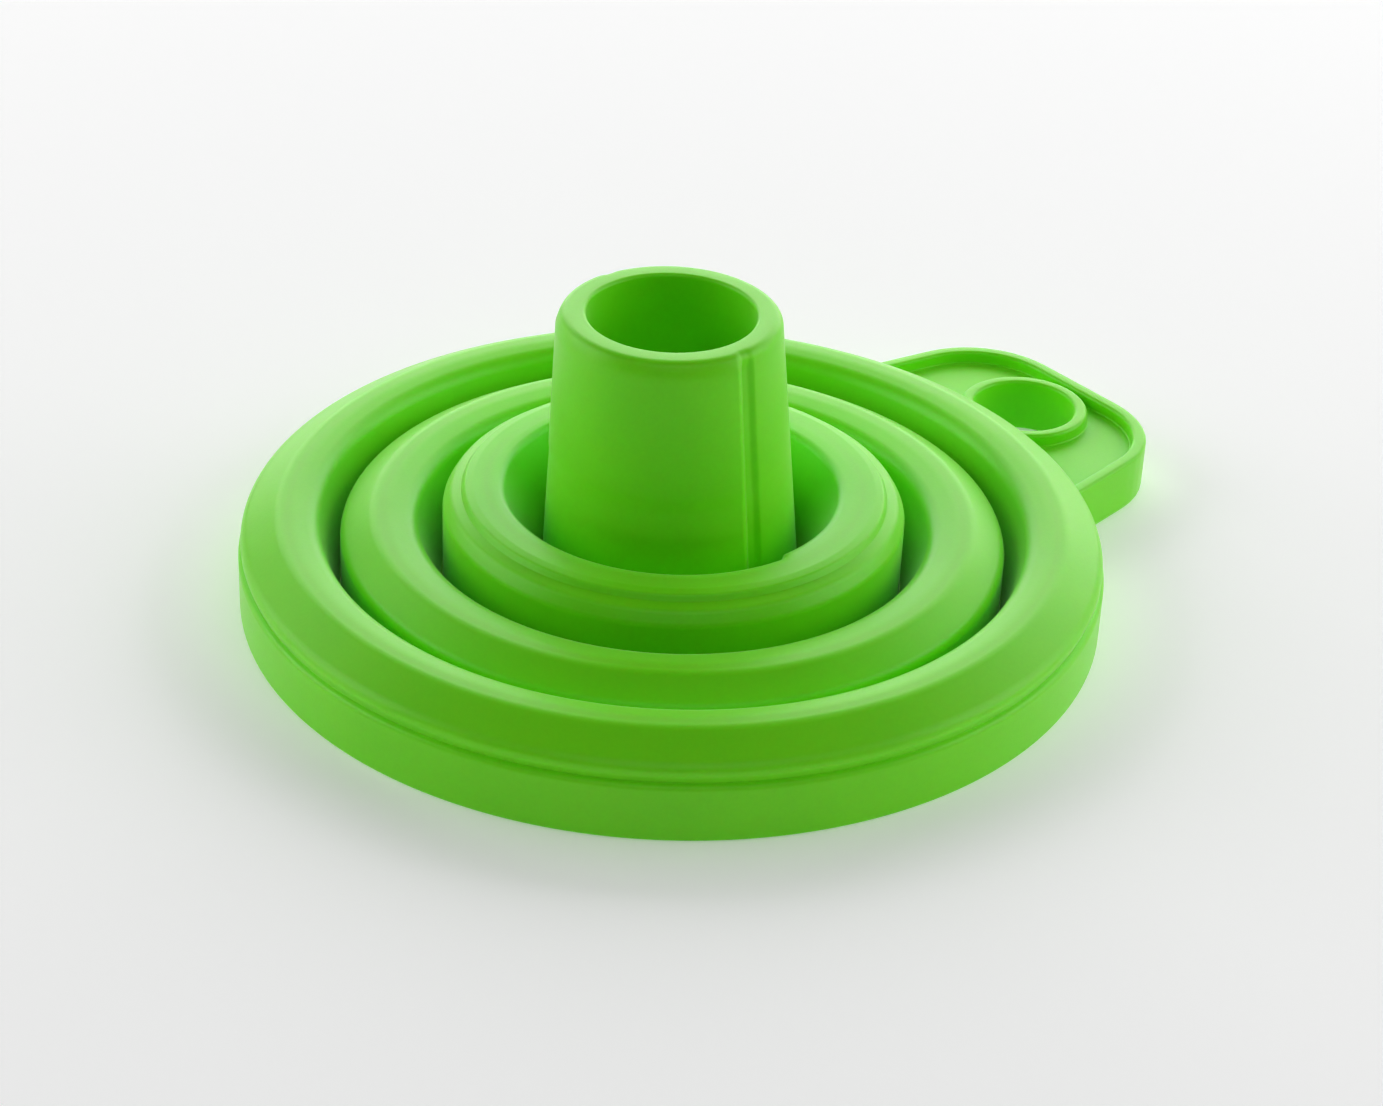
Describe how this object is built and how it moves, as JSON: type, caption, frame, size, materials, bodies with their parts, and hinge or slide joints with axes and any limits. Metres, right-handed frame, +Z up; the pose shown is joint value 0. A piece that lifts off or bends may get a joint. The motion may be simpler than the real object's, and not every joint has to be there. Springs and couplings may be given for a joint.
{
  "type": "canning funnel",
  "caption": "Folding soft funnel, pressed flat: nested rings round an upright tapered spout, on a wide round mouth with a flat hang tab.",
  "frame": {"origin": "on the funnel's axis, in the plane that the mouth rim stands on", "axes": "+Z up the spout, out of the funnel's narrow end; +X out along the hang tab; folded flat at rest"},
  "size_m": [0.0937, 0.08, 0.029],
  "materials": {
    "silicone_band": "satin lime green silicone",
    "silicone_fold": "satin lime green silicone, thin",
    "silicone_spout": "satin lime green silicone",
    "silicone_tab": "satin lime green silicone"
  },
  "bodies": {
    "mouth": {"mouth_band": "silicone_band", "hang_tab": "silicone_tab", "outer_fold": "silicone_fold"},
    "middle": {"middle_band": "silicone_band", "middle_fold": "silicone_fold"},
    "inner": {"inner_band": "silicone_band", "inner_fold": "silicone_fold"},
    "tip": {"spout": "silicone_spout"}
  },
  "joints": [
    {"name": "outer_fold_slide", "type": "slide", "parent": "mouth", "child": "middle", "axis": [0, 0, 1], "range_m": [0, 0.0131], "deforming": ["outer_fold"]},
    {"name": "middle_fold_slide", "type": "slide", "parent": "middle", "child": "inner", "axis": [0, 0, 1], "range_m": [0, 0.0125], "deforming": ["middle_fold"]},
    {"name": "inner_fold_slide", "type": "slide", "parent": "inner", "child": "tip", "axis": [0, 0, 1], "range_m": [0, 0.0164], "deforming": ["inner_fold"]}
  ]
}
